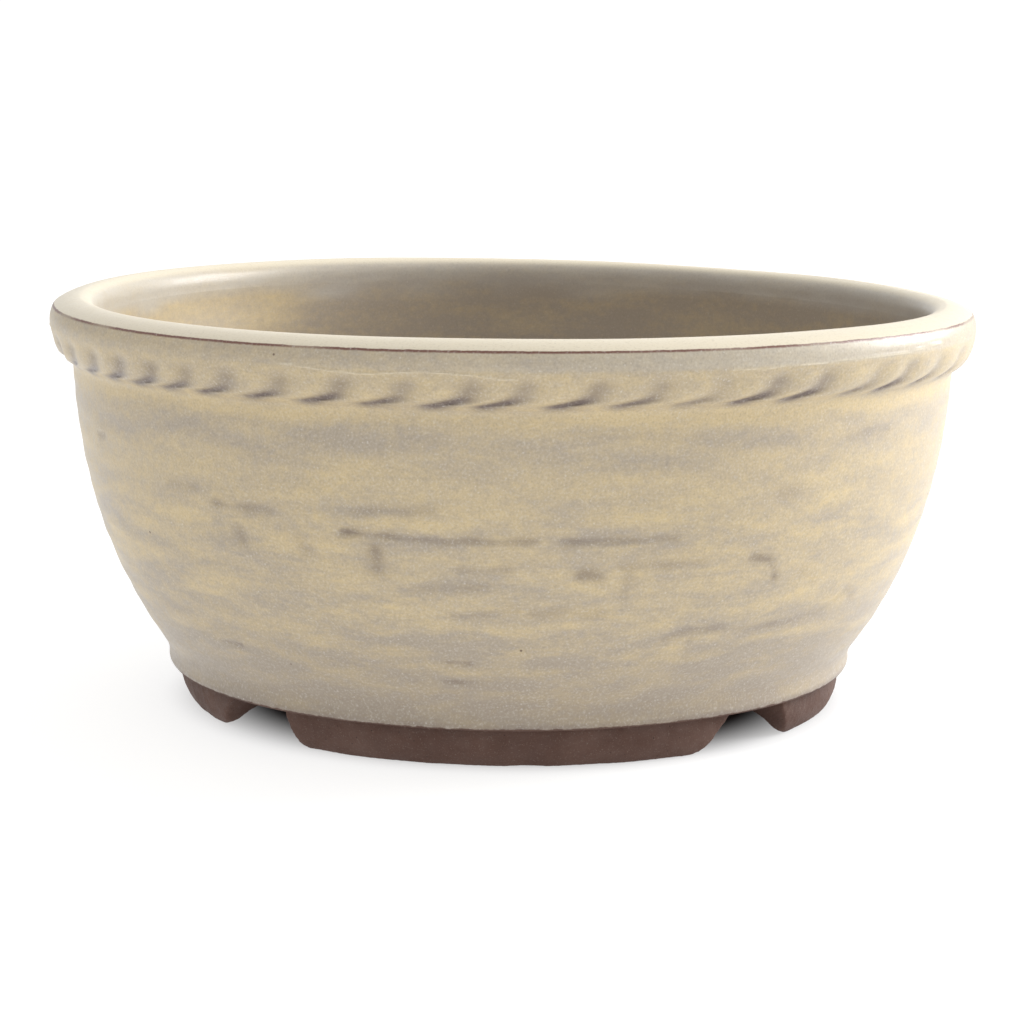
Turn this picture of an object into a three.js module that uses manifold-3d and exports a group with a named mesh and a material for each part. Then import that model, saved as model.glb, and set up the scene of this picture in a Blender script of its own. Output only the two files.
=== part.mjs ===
// A round stoneware bonsai pot, 220 mm across and 96.5 mm high, in its luted clay members:
// a pierced floor slab, a skirt ring round it, a bowl wall that laps over both, a rope band
// and a lip ring at the rim, and four long arc feet left by cutting notches in a foot ring.
// Millimetres, +Z up. The origin is the centre of the ground plane under the feet.
// Angles are bearings: 0 is the front, -Y, and they grow towards +X, the pot's right.
import * as THREE from "three";
import { mergeVertices } from "three/addons/utils/BufferGeometryUtils.js";
import Module from "manifold-3d";

const wasm = await Module();
wasm.setup();

// Heights of the seams between the members, from the ground up
const FOOT_TOP = 9; // feet to floor slab and skirt
const SKIRT_TOP = 14.5; // skirt to wall, where the bowl begins to flare
const FLOOR_TOP = 16.5; // upper face of the floor slab
const BAND_BOTTOM = 81.5; // crease under the rope band
const LIP_BOTTOM = 90; // rope band and wall to lip, at the glaze line
const ARRIS_HEIGHT = 94.1; // worn edge round the outside of the lip
const RIM_TOP = 96.5; // crest of the lip

// Radii
const RIM_RADIUS = 110; // widest point, on the rope band at the glaze line
const ARRIS_RADIUS = 109;
const OPENING_RADIUS = 98.9; // inside of the lip
const WALL_TOP_RADIUS = 104.5; // outside of the wall behind the rope band
const SKIRT_RADIUS = 83.2; // top of the skirt
const SKIRT_FOOT_RADIUS = 82.5; // lower edge of the skirt
const SLAB_RADIUS = 76;
const FLOOR_CORNER_RADIUS = 66; // where the floor turns up into the wall
const FOOT_RADIUS = 79.1; // outside of a foot at its top
const FOOT_BOTTOM_RADIUS = 77.8; // outer edge of the face that rests on the ground
const FOOT_BOTTOM_WIDTH = 1.6; // width of that face
const FOOT_INNER_RADIUS = 68.6; // inside of a foot at its top

const SLIP_GAP = 0.3; // slip joint between two round faces
const DRAIN_RADIUS = 13;
const WIRE_HOLE_RADIUS = 2.5; // holes for the wire that ties the tree in
const WIRE_HOLE_PITCH_RADIUS = 44;
const NOTCH_BEARING = 42.6; // middle of the first notch between two feet
const FOOT_NAMES = ["foot_front", "foot_right", "foot_back", "foot_left"];

// Rope band: slanting grooves pressed into the bead, like the strands of a rope
const STRANDS = 50;
const GROOVE_DEPTH = 1.3;
const GROOVE_LEAN = 0.1; // radians that a groove drifts right over the band's height
const STEPS_PER_STRAND = 4;

const RING_STEPS = 80; // facets round each turned ring

const UP = new THREE.Vector3(0, 0, 1);

function clay(color, roughness) {
  return new THREE.MeshStandardMaterial({ color, roughness, metalness: 0 });
}

// Turns a closed profile of (radius, height) points about the Z axis.
// The profile runs up the outside and down the inside, with curveSteps facets along each curve.
function turned(profile, curveSteps = 1, ringSteps = RING_STEPS) {
  const points = profile.getPoints(curveSteps);
  return new THREE.LatheGeometry(points, ringSteps).rotateX(Math.PI / 2);
}

function toSolid(geometry) {
  const bare = new THREE.BufferGeometry();
  bare.setAttribute("position", geometry.getAttribute("position"));
  if (geometry.index) bare.setIndex(geometry.index);
  const merged = mergeVertices(bare, 1e-3);
  return new wasm.Manifold(
    new wasm.Mesh({
      numProp: 3,
      vertProperties: merged.attributes.position.array,
      triVerts: new Uint32Array(merged.index.array),
    }),
  );
}

function toGeometry(solid) {
  const { vertProperties, triVerts } = solid.getMesh();
  const geometry = new THREE.BufferGeometry();
  geometry.setAttribute("position", new THREE.BufferAttribute(vertProperties, 3));
  geometry.setIndex(new THREE.BufferAttribute(triVerts, 1));
  geometry.computeVertexNormals();
  return geometry;
}

function member(name, geometry, material) {
  const mesh = new THREE.Mesh(geometry, material);
  mesh.name = name;
  return mesh;
}

// Unit vectors outward and towards growing bearing
function outward(bearing) {
  return new THREE.Vector3(Math.sin(bearing), -Math.cos(bearing), 0);
}

function sideways(bearing) {
  return new THREE.Vector3(Math.cos(bearing), Math.sin(bearing), 0);
}

// Floor slab, with the drain hole in its middle and four wire holes round it
function floorSlab() {
  const outline = new THREE.Shape().absarc(0, 0, SLAB_RADIUS, 0, 2 * Math.PI);
  outline.holes.push(new THREE.Path().absarc(0, 0, DRAIN_RADIUS, 0, 2 * Math.PI));
  for (let quarter = 0; quarter < 4; quarter++) {
    const centre = outward((quarter * Math.PI) / 2).multiplyScalar(WIRE_HOLE_PITCH_RADIUS);
    const hole = new THREE.Path();
    hole.absarc(centre.x, centre.y, WIRE_HOLE_RADIUS, 0, 2 * Math.PI);
    outline.holes.push(hole);
  }
  const slab = new THREE.ExtrudeGeometry(outline, {
    depth: FLOOR_TOP - FOOT_TOP,
    bevelEnabled: false,
    curveSegments: 20,
  });
  return slab.translate(0, 0, FOOT_TOP);
}

// Low ring round the slab, its lower edge rolled where the glaze gathers
function skirtRing() {
  const bore = SLAB_RADIUS + SLIP_GAP;
  const roll = SKIRT_FOOT_RADIUS + 0.5;
  const profile = new THREE.Path()
    .moveTo(SKIRT_FOOT_RADIUS, FOOT_TOP)
    .quadraticCurveTo(roll, FOOT_TOP + 0.4, roll, FOOT_TOP + 1.4)
    .lineTo(SKIRT_RADIUS, SKIRT_TOP)
    .lineTo(bore, SKIRT_TOP)
    .lineTo(bore, FOOT_TOP)
    .lineTo(SKIRT_FOOT_RADIUS, FOOT_TOP);
  return turned(profile, 3);
}

// Bowl wall: it stands on the skirt, laps over the edge of the slab, and thins towards the rim
function bowlWall() {
  const rebate = SLAB_RADIUS + SLIP_GAP;
  const profile = new THREE.Path()
    .moveTo(SKIRT_RADIUS, SKIRT_TOP)
    .bezierCurveTo(98.8, 36.1, 103.3, 57.9, WALL_TOP_RADIUS, BAND_BOTTOM)
    .lineTo(WALL_TOP_RADIUS, LIP_BOTTOM)
    .lineTo(OPENING_RADIUS, LIP_BOTTOM)
    .bezierCurveTo(98, 46, 84, 17.5, FLOOR_CORNER_RADIUS, FLOOR_TOP)
    .lineTo(rebate, FLOOR_TOP)
    .lineTo(rebate, SKIRT_TOP)
    .lineTo(SKIRT_RADIUS, SKIRT_TOP);
  return turned(profile, 8);
}

// Depth of the strand grooves at a bearing and height: none at the glaze line, most near the crease
function grooveAt(bearing, height) {
  const rise = (height - BAND_BOTTOM) / (LIP_BOTTOM - BAND_BOTTOM);
  const across = Math.cos(STRANDS * (bearing - GROOVE_LEAN * rise));
  const fade = Math.sin(Math.PI * Math.min(1, 0.25 + rise)) ** 2;
  return GROOVE_DEPTH * fade * Math.max(0, across);
}

// Rope band: a bead luted round the outside of the wall under the lip
function ropeBand() {
  const bore = WALL_TOP_RADIUS + SLIP_GAP;
  const profile = new THREE.Path()
    .moveTo(bore, BAND_BOTTOM)
    .lineTo(107.6, 83)
    .lineTo(109, 85.5)
    .lineTo(109.8, 88)
    .lineTo(RIM_RADIUS, LIP_BOTTOM)
    .lineTo(bore, LIP_BOTTOM)
    .lineTo(bore, BAND_BOTTOM);
  const bead = turned(profile, 1, STRANDS * STEPS_PER_STRAND);
  const position = bead.getAttribute("position");
  const point = new THREE.Vector3();
  for (let i = 0; i < position.count; i++) {
    point.fromBufferAttribute(position, i);
    const radius = Math.hypot(point.x, point.y);
    if (radius < bore + 1) continue;
    const bearing = Math.atan2(point.x, -point.y);
    const pressed = (radius - grooveAt(bearing, point.z)) / radius;
    position.setXY(i, point.x * pressed, point.y * pressed);
  }
  return bead;
}

// Lip ring: it caps the wall and the rope band, with a crowned top that falls to the arris
function lipRing() {
  const profile = new THREE.Path()
    .moveTo(RIM_RADIUS, LIP_BOTTOM)
    .quadraticCurveTo(RIM_RADIUS, 92.4, ARRIS_RADIUS, ARRIS_HEIGHT)
    .bezierCurveTo(106.6, 95.6, 104.2, RIM_TOP, 102.8, RIM_TOP)
    .bezierCurveTo(100.6, RIM_TOP, OPENING_RADIUS, 94.6, OPENING_RADIUS, 92)
    .lineTo(OPENING_RADIUS, LIP_BOTTOM)
    .lineTo(RIM_RADIUS, LIP_BOTTOM);
  return turned(profile, 5);
}

// Foot ring before it is notched: a narrow face on the ground, bevelled up on the inside
function footRing() {
  const profile = new THREE.Path()
    .moveTo(FOOT_BOTTOM_RADIUS, 0)
    .lineTo(FOOT_BOTTOM_RADIUS + 0.6, 0.7)
    .lineTo(FOOT_RADIUS, FOOT_TOP)
    .lineTo(FOOT_INNER_RADIUS, FOOT_TOP)
    .lineTo(FOOT_INNER_RADIUS + 1, 4.2)
    .lineTo(FOOT_BOTTOM_RADIUS - FOOT_BOTTOM_WIDTH, 0)
    .lineTo(FOOT_BOTTOM_RADIUS, 0);
  return turned(profile);
}

// Cutter for the notch between two feet: one side slants, the other is nearly upright
function notchCutter(bearing) {
  const below = -1;
  const above = FOOT_TOP + 1;
  const outline = new THREE.Shape()
    .moveTo(-15.6, below)
    .lineTo(-14.8, 0)
    .quadraticCurveTo(-12.6, 0.3, -11.2, 2.7)
    .lineTo(-6.4, above)
    .lineTo(12, above)
    .lineTo(13.9, 2.4)
    .quadraticCurveTo(14.5, 0.2, 16.6, 0)
    .lineTo(17.4, below);
  const start = FOOT_INNER_RADIUS - 6;
  const cutter = new THREE.ExtrudeGeometry(outline, {
    depth: FOOT_RADIUS + 8 - start,
    bevelEnabled: false,
    curveSegments: 5,
  });
  const place = new THREE.Matrix4().makeBasis(sideways(bearing), UP, outward(bearing));
  place.setPosition(outward(bearing).multiplyScalar(start));
  return cutter.applyMatrix4(place);
}

// The four feet, named by the quarter that each one stands in
function feet(material) {
  let ring = toSolid(footRing());
  for (let quarter = 0; quarter < 4; quarter++) {
    const bearing = THREE.MathUtils.degToRad(NOTCH_BEARING + 90 * quarter);
    ring = ring.subtract(toSolid(notchCutter(bearing)));
  }
  return ring.decompose().map((solid) => {
    const { min, max } = solid.boundingBox();
    const bearing = Math.atan2(min[0] + max[0], -(min[1] + max[1]));
    const quarter = (Math.round(bearing / (Math.PI / 2)) + 4) % 4;
    return member(FOOT_NAMES[quarter], toGeometry(solid), material.clone());
  });
}

const glaze = clay(0xc9bd97, 0.3);
const bareClay = clay(0x5c4339, 0.85);

const pot = new THREE.Group();
pot.name = "bonsai_pot";
pot.add(
  member("floor_slab", floorSlab(), bareClay.clone()),
  member("skirt_ring", skirtRing(), glaze.clone()),
  member("bowl_wall", bowlWall(), glaze.clone()),
  member("rope_band", ropeBand(), clay(0xbfae86, 0.3)),
  member("lip_ring", lipRing(), clay(0xe6dcc3, 0.35)),
  ...feet(bareClay),
);

export default pot;
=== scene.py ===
"""A round glazed stoneware bonsai pot: rope band under a crowned lip, low skirt, four notched arc feet.

Lengths in the shape functions are millimetres and bearings are degrees from the front, -Y, towards +X.
The meshes are written in metres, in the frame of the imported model.
"""

import math

import bmesh
import bpy
import numpy as np
from mathutils import Matrix, Vector


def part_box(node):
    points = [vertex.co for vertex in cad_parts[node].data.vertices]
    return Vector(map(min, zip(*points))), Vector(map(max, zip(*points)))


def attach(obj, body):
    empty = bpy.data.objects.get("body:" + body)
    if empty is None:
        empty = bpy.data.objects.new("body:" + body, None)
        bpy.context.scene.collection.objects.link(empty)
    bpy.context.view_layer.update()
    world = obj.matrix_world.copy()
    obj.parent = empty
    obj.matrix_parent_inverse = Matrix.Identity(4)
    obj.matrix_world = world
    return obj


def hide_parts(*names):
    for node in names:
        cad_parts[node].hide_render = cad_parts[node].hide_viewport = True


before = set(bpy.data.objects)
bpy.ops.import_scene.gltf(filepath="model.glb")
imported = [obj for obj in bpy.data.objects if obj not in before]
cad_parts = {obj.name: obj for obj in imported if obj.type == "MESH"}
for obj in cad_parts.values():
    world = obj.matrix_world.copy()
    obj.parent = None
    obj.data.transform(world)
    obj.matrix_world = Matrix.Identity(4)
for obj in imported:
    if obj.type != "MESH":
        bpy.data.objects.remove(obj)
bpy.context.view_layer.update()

MM = 0.001

# ---------------------------------------------------------------- camera

EYE = Vector((0.0, -646.3, 150.4)) * MM
PITCH_DOWN = math.radians(9.40)
ROLL = math.radians(0.469)
LENS = 94.5
SENSOR = 36.0


def make_camera():
    forward = Vector((0, math.cos(PITCH_DOWN), -math.sin(PITCH_DOWN)))
    right = forward.cross(Vector((0, 0, 1))).normalized()
    up = right.cross(forward)
    rolled_right = math.cos(ROLL) * right + math.sin(ROLL) * up
    rolled_up = math.cos(ROLL) * up - math.sin(ROLL) * right
    data = bpy.data.cameras.new("camera")
    data.sensor_width = SENSOR
    data.lens = LENS
    data.clip_start = 0.01
    camera = bpy.data.objects.new("camera", data)
    turn = Matrix((rolled_right, rolled_up, -forward)).transposed()
    camera.matrix_world = Matrix.Translation(EYE) @ turn.to_4x4()
    bpy.context.scene.collection.objects.link(camera)
    bpy.context.scene.camera = camera


# ---------------------------------------------------------------- sizes, from the frame


def node_box_mm(node):
    low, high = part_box(node)
    return np.array(low) / MM, np.array(high) / MM


SLAB_HIGH = node_box_mm("floor_slab")[1]
SKIRT_LOW, SKIRT_HIGH = node_box_mm("skirt_ring")
WALL_HIGH = node_box_mm("bowl_wall")[1]
BAND_LOW = node_box_mm("rope_band")[0]
LIP_LOW, LIP_HIGH = node_box_mm("lip_ring")

FOOT_TOP = SKIRT_LOW[2]
SKIRT_TOP = SKIRT_HIGH[2]
FLOOR_TOP = SLAB_HIGH[2]
BAND_BOTTOM = BAND_LOW[2]
LIP_BOTTOM = LIP_LOW[2]
RIM_TOP = LIP_HIGH[2]
RIM_RADIUS = LIP_HIGH[0]
SKIRT_RADIUS = SKIRT_HIGH[0]
SLAB_RADIUS = SLAB_HIGH[0]
WALL_TOP_RADIUS = WALL_HIGH[0]

SLIP_GAP = 0.3  # between members, where slip joins them
ARRIS_HEIGHT = 94.1
ARRIS_RADIUS = RIM_RADIUS - 1.0
CREST_HEIGHT = RIM_TOP - 0.45
CREST_RADIUS = 102.8
OPENING_HEIGHT = 92.0
OPENING_RADIUS = RIM_RADIUS - 11.1
LIP_FOOT_RADIUS = RIM_RADIUS - 0.15
FLOOR_CORNER_RADIUS = SLAB_RADIUS - 10.0
SKIRT_BORE = SLAB_RADIUS + SLIP_GAP
SEAT_RADIUS = 80.5  # a circle on the level face where the wall stands on the skirt
WALL_MID_RADIUS = 97.0  # turns bearings into distances over the wall

# ---------------------------------------------------------------- small numeric helpers


def smoothstep(low, high, value):
    t = np.clip((value - low) / (high - low), 0.0, 1.0)
    return t * t * (3 - 2 * t)


def bell(value, centre, width):
    return np.exp(-(((value - centre) / width) ** 2))


def wrap(degrees):
    return (degrees + 180.0) % 360.0 - 180.0


def bezier(p0, p1, p2, p3, steps):
    t = np.linspace(0, 1, steps)[:, None]
    p0, p1, p2, p3 = (np.array(p, float) for p in (p0, p1, p2, p3))
    return (1 - t) ** 3 * p0 + 3 * (1 - t) ** 2 * t * p1 + 3 * (1 - t) * t * t * p2 + t**3 * p3


def resample(points, spacing):
    """The same line with evenly spaced points, its ends kept."""
    points = np.asarray(points, float)
    run = np.concatenate([[0], np.cumsum(np.hypot(*np.diff(points, axis=0).T))])
    count = max(2, int(round(run[-1] / spacing)) + 1)
    at = np.linspace(0, run[-1], count)
    return np.stack([np.interp(at, run, points[:, i]) for i in (0, 1)], axis=1)


def soften(points, reach):
    """Rounds the corners of an evenly spaced line over about reach points each way, its ends kept."""
    offsets = np.arange(-3 * reach, 3 * reach + 1)
    weights = np.exp(-0.5 * (offsets / reach) ** 2)
    weights /= weights.sum()
    pad = 3 * reach
    head = 2 * points[0] - points[pad:0:-1]
    tail = 2 * points[-1] - points[-2 : -pad - 2 : -1]
    long = np.concatenate([head, points, tail])
    return np.stack([np.convolve(long[:, i], weights, mode="valid") for i in (0, 1)], axis=1)


def cut_at_height(line, height):
    """Splits a (radius, height) line in two where it first crosses a height."""
    z = line[:, 1]
    i = np.nonzero((z[:-1] - height) * (z[1:] - height) <= 0)[0][0]
    t = (height - z[i]) / (z[i + 1] - z[i])
    point = line[i] + t * (line[i + 1] - line[i])
    return np.vstack([line[: i + 1], point]), np.vstack([point, line[i + 1 :]])


class Noise:
    """Smooth seeded noise on a cylinder: a sum of waves that closes round the pot."""

    def __init__(self, seed, turns, rises, count):
        rng = np.random.default_rng(seed)
        self.turn = rng.integers(turns[0], turns[1] + 1, count)
        self.rise = rng.uniform(*rises, count) * rng.choice([-1, 1], count)
        self.phase = rng.uniform(0, 2 * np.pi, count)
        self.gain = 1.0 / math.sqrt(count / 2)

    def __call__(self, bearing, height):
        total = 0.0
        for turn, rise, phase in zip(self.turn, self.rise, self.phase, strict=True):
            total = total + np.cos(np.radians(bearing) * turn + height * rise + phase)
        return total * self.gain


# ---------------------------------------------------------------- the pot's section

FINE = 0.25  # spacing of the section's points while its corners are rounded
CORNER_REACH = 4  # how many points each way a corner's rounding takes in


def outer_section():
    """From the skirt's lower edge up the outside to the crest of the lip."""
    roll = SKIRT_RADIUS - 0.35
    skirt = [
        (roll - 0.9, FOOT_TOP),
        (roll - 0.1, FOOT_TOP + 0.35),
        (roll, FOOT_TOP + 1.2),
        (roll - 0.5, FOOT_TOP + 2.4),
        (SKIRT_RADIUS, SKIRT_TOP),
    ]
    ledge, lip_foot = (WALL_TOP_RADIUS, BAND_BOTTOM), (LIP_FOOT_RADIUS, LIP_BOTTOM)
    arris, crest = (ARRIS_RADIUS, ARRIS_HEIGHT), (CREST_RADIUS, CREST_HEIGHT)
    wall = bezier(skirt[-1], (98.8, 36.1), (103.3, 57.9), ledge, steps=120)
    bead = bezier(ledge, (108.2, 82.4), (109.5, 86.0), lip_foot, steps=30)
    side = bezier(lip_foot, (RIM_RADIUS, 91.4), (RIM_RADIUS - 0.2, 93.0), arris, steps=14)
    corners = resample(np.vstack([skirt, wall[1:], bead[1:], side[1:]]), FINE)
    top = bezier(arris, (106.9, 95.5), (104.6, CREST_HEIGHT), crest, steps=30)
    return np.vstack([soften(corners, CORNER_REACH), top[1:]])


def inner_section():
    """From the crest of the lip down the inside to where the floor begins."""
    crest, opening = (CREST_RADIUS, CREST_HEIGHT), (OPENING_RADIUS, OPENING_HEIGHT)
    floor_corner = (FLOOR_CORNER_RADIUS, FLOOR_TOP)
    lip = bezier(crest, (100.9, CREST_HEIGHT), (OPENING_RADIUS, 94.8), opening, steps=24)
    wall = bezier(opening, (98.2, 48.0), (84.0, 17.3), floor_corner, steps=120)
    return soften(resample(np.vstack([lip, wall[1:]]), FINE), CORNER_REACH)


# ---------------------------------------------------------------- relief in the clay and the glaze

STRANDS = 50
POOL_HEIGHT = 82.7  # where the glaze pools at the lower end of each groove
GROOVE_DEPTH = 1.0
GROOVE_LEAN = 4.8  # degrees a groove leans above its pool, most of them in GROOVE_BEND mm of height
GROOVE_BEND = 1.4
GROOVE_TAIL = 0.4  # degrees a mm below its pool

# The strand grooves pressed by hand across the front: bearing of the glaze pool in each, and how dark it is
FRONT_STRANDS = [
    (-76.5, 0.7), (-69.3, 0.8), (-62.0, 0.9), (-55.4, 0.95), (-49.0, 1.0), (-43.2, 0.8), (-37.2, 0.85),
    (-30.2, 0.8), (-22.9, 0.95), (-15.8, 0.75), (-8.6, 1.0), (-2.8, 0.85), (5.0, 1.0), (12.0, 0.7),
    (19.2, 0.45), (26.0, 1.0), (32.6, 1.0), (41.2, 0.5), (47.6, 0.9), (55.5, 0.6), (63.5, 0.5), (71.5, 0.6),
]  # fmt: skip


def all_strands():
    """Bearing and darkness of every strand groove, the rest of them evenly spaced with a little play."""
    rest = STRANDS - len(FRONT_STRANDS)
    rng = np.random.default_rng(5)
    first, last = FRONT_STRANDS[0][0], FRONT_STRANDS[-1][0]
    step = (360 + first - last) / (rest + 1)
    bearings = last + step * np.arange(1, rest + 1) + rng.uniform(-0.8, 0.8, rest)
    dark = rng.uniform(0.4, 1.0, rest)
    table = np.array(FRONT_STRANDS + list(zip(bearings, dark, strict=True)))
    return table[:, 0], table[:, 1]


STRAND_BEARINGS, STRAND_DARKNESS = all_strands()

# Brushed marks: (bearing, height) points along each, half width in mm, strength from 0 to 1
MARKS = [
    ([(-20, 54.8), (-14, 54.3), (-7, 53.6), (3, 53.9)], 0.95, 0.8),
    ([(6, 54.0), (12, 53.7), (20, 54.2)], 0.95, 0.7),
    ([(-16.2, 51.5), (-15.8, 47.6)], 1.8, 0.8),
    ([(-19, 59.6), (-14, 60.2), (-9, 60)], 1.1, 0.45),
    ([(-38, 58), (-30, 58.4)], 1.2, 0.7),
    ([(-46, 61), (-41.5, 61.2)], 1.2, 0.35),
    ([(-34.8, 52), (-34.4, 50.2)], 1.8, 0.55),
    ([(-26, 53), (-25, 50)], 1.5, 0.3),
    ([(-63.5, 68), (-61.5, 68.4)], 0.9, 0.6),
    ([(-6, 47.3), (0, 47.6)], 1.0, 0.5),
    ([(-12, 43.2), (-3, 43.5)], 1.4, 0.3),
    ([(3, 37.8), (12, 37.4)], 1.4, 0.4),
    ([(-7, 37), (1, 38)], 1.2, 0.35),
    ([(8.6, 46.2), (11, 46.2)], 1.3, 1.0),
    ([(14.8, 47.6), (14.2, 41)], 1.2, 0.35),
    ([(13.5, 48.2), (23.5, 48.4)], 1.1, 0.4),
    ([(31, 48.6), (33.6, 47.4), (35, 44.8), (35.4, 43)], 1.0, 0.85),
    ([(21, 31.2), (24.5, 32.8), (30, 31.6), (40, 31.2), (46, 32.2), (51.5, 36), (53.5, 35)], 1.2, 0.5),
    ([(24.6, 29.6), (24.8, 26)], 1.1, 0.5),
    ([(31, 26.8), (41, 26.5)], 1.3, 0.3),
    ([(-8.4, 25.7), (-4.8, 25.5)], 0.8, 0.9),
    ([(-9, 20.9), (-4, 20.7)], 1.0, 0.8),
    ([(-44.5, 24.7), (-41, 24.5)], 0.9, 0.75),
    ([(-31.4, 30), (-30.6, 29.6)], 0.8, 0.5),
    ([(-36, 24.5), (-31, 24.2)], 1.8, 0.3),
    ([(44, 72.6), (49.5, 73.6), (52, 72.8)], 1.3, 0.3),
    ([(33.5, 62.6), (35.5, 62.2)], 1.6, 0.35),
    ([(40.5, 42.6), (42.5, 42)], 1.6, 0.3),
]
FRONT_REACH = 72.0  # bearings beyond this, to either side, have marks of their own
BACK_MARKS = 34  # tried, those without room dropped
BACK_MARK_ROOM = 16  # degrees kept free of the back's marks before the front begins

# Patches where the glaze runs yellow: bearing, height, half length and half height in mm, strength
YELLOW_PATCHES = [
    (-6, 23.2, 6, 0.9, 0.9),
    (-42.5, 22.7, 5, 0.9, 0.7),
    (-28, 27.8, 5, 1.4, 0.5),
    (-15, 24.6, 7, 1.1, 0.5),
    (0, 34.4, 16, 1.2, 0.6),
    (20.5, 34.2, 4, 1.6, 0.6),
    (22.4, 28.2, 3, 2.0, 0.9),
    (36, 28.8, 17, 1.0, 0.7),
    (42, 38, 6, 1.8, 0.6),
    (49.5, 35, 4.5, 2.0, 0.8),
    (19, 18.6, 4, 1.4, 0.6),
    (36, 19, 6, 1.3, 0.4),
    (11, 43.4, 4, 2.0, 0.5),
    (-10, 57.2, 22, 1.0, 0.4),
    (14, 58, 20, 1.6, 0.5),
    (22, 46.4, 12, 0.9, 0.5),
    (-45, 53, 14, 4.0, 0.5),
    (-15.5, 38.3, 7, 1.2, 0.4),
]


def distance_to_line(bearing, height, points, radius):
    """Distance in mm over the wall's surface from each place to a line of (bearing, height) points."""
    nearest = np.full(np.broadcast(bearing, height).shape, 1e9)
    arc = math.radians(1.0) * radius
    for (b0, z0), (b1, z1) in zip(points[:-1], points[1:], strict=True):
        along, rise = (b1 - b0) * arc, z1 - z0
        x = wrap(bearing - b0) * arc
        y = height - z0
        t = np.clip((x * along + y * rise) / (along**2 + rise**2), 0, 1)
        nearest = np.minimum(nearest, np.hypot(x - t * along, y - t * rise))
    return nearest


def marks_round_the_back():
    """Marks for the bearings beyond FRONT_REACH, mostly level strokes and a few short upright ones."""
    rng = np.random.default_rng(41)
    marks = []
    for _ in range(BACK_MARKS):
        bearing = rng.uniform(FRONT_REACH + 4, 356 - FRONT_REACH)
        height = rng.uniform(19, 63)
        strength = rng.uniform(0.25, 0.95)
        if rng.random() < 0.75:
            length = rng.uniform(2, 15)
            middle = (bearing + length / 2, height + rng.uniform(-0.7, 0.7))
            points = [(bearing, height), middle, (bearing + length, height + rng.uniform(-0.6, 0.6))]
        else:
            lean = rng.uniform(-0.6, 0.6)
            points = [(bearing, height), (bearing + lean, height - rng.uniform(2, 6))]
        if bearing + BACK_MARK_ROOM > 360 - FRONT_REACH:
            continue
        marks.append((points, rng.uniform(0.8, 1.5), strength))
    return marks


ALL_MARKS = MARKS + marks_round_the_back()
SOFT_WAVES = Noise(7, (2, 9), (0.02, 0.09), 16)
BRUSH_WAVES = Noise(8, (6, 26), (0.5, 1.3), 28)
PATCH_WAVES = Noise(9, (3, 16), (0.15, 0.5), 24)
MARK_RAGGED = Noise(10, (16, 80), (0.4, 1.2), 22)
LINE_WAVES = Noise(11, (5, 34), (0.0, 0.01), 14)
INNER_RINGS = Noise(13, (0, 3), (0.7, 1.5), 10)


def marks_at(bearing, height):
    """0 to 1: how deep in a brushed mark each place is, and the same with a wider, softer edge."""
    core = np.zeros(np.broadcast(bearing, height).shape)
    halo = np.zeros_like(core)
    ragged = MARK_RAGGED(bearing, height)
    for points, half_width, strength in ALL_MARKS:
        distance = distance_to_line(bearing, height, points, WALL_MID_RADIUS)
        soft = half_width * (0.92 + 0.15 * ragged)
        core = np.maximum(core, strength * (0.85 + 0.15 * ragged) * bell(distance, 0.0, soft))
        halo = np.maximum(halo, strength * bell(distance, 0.0, 2.6 * half_width))
    return core, halo


def yellow_at(bearing, height):
    """0 to 1: how far into a yellow patch each place is."""
    arc = math.radians(1.0) * WALL_MID_RADIUS
    total = np.zeros(np.broadcast(bearing, height).shape)
    for b, z, half_length, half_height, strength in YELLOW_PATCHES:
        x = wrap(bearing - b) * arc / half_length
        y = (height - z) / half_height
        total = np.maximum(total, strength * np.exp(-((x * x + y * y) ** 0.9)))
    return total


def strand_at(bearing, height):
    """Signed bearing distance to the nearest strand groove's middle line, and that groove's darkness."""
    rise = height - POOL_HEIGHT
    above = GROOVE_LEAN * (1 - np.exp(-np.clip(rise, 0, None) / GROOVE_BEND))
    lean = np.where(rise > 0, above, GROOVE_TAIL * rise)
    offsets = wrap((bearing - lean)[..., None] - STRAND_BEARINGS)
    nearest = np.argmin(np.abs(offsets), axis=-1)
    offset = np.take_along_axis(offsets, nearest[..., None], axis=-1)[..., 0]
    return offset, STRAND_DARKNESS[nearest]


def grooves_at(bearing, height):
    """Depth in mm of the strand grooves, and from 0 to 1.1 how much glaze has pooled in them."""
    offset, dark = strand_at(bearing, height)
    up = height - POOL_HEIGHT
    run_out = 1 - smoothstep(LIP_BOTTOM - 3.2, LIP_BOTTOM, height)
    rising = smoothstep(BAND_BOTTOM, BAND_BOTTOM + 1.8, height) * run_out
    valley = 0.62 * bell(offset, 0.0, 2.1) + 0.25 * bell(offset, 0.0, 1.4) * bell(up, 0.3, 1.8)
    depth = GROOVE_DEPTH * (0.7 + 0.5 * dark) * valley * rising
    trail = np.where(offset < 0, offset / 1.35, offset / 2.1)
    blob = np.exp(-(trail**2) - ((up - 0.25) / 1.3) ** 2)
    wash = 0.5 * bell(offset, -0.3, 1.4) * smoothstep(-1.0, 0.8, up) * (1 - smoothstep(3.5, 7.3, up))
    return depth, np.clip(dark * (0.95 * blob + wash), 0, 1.1)


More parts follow.
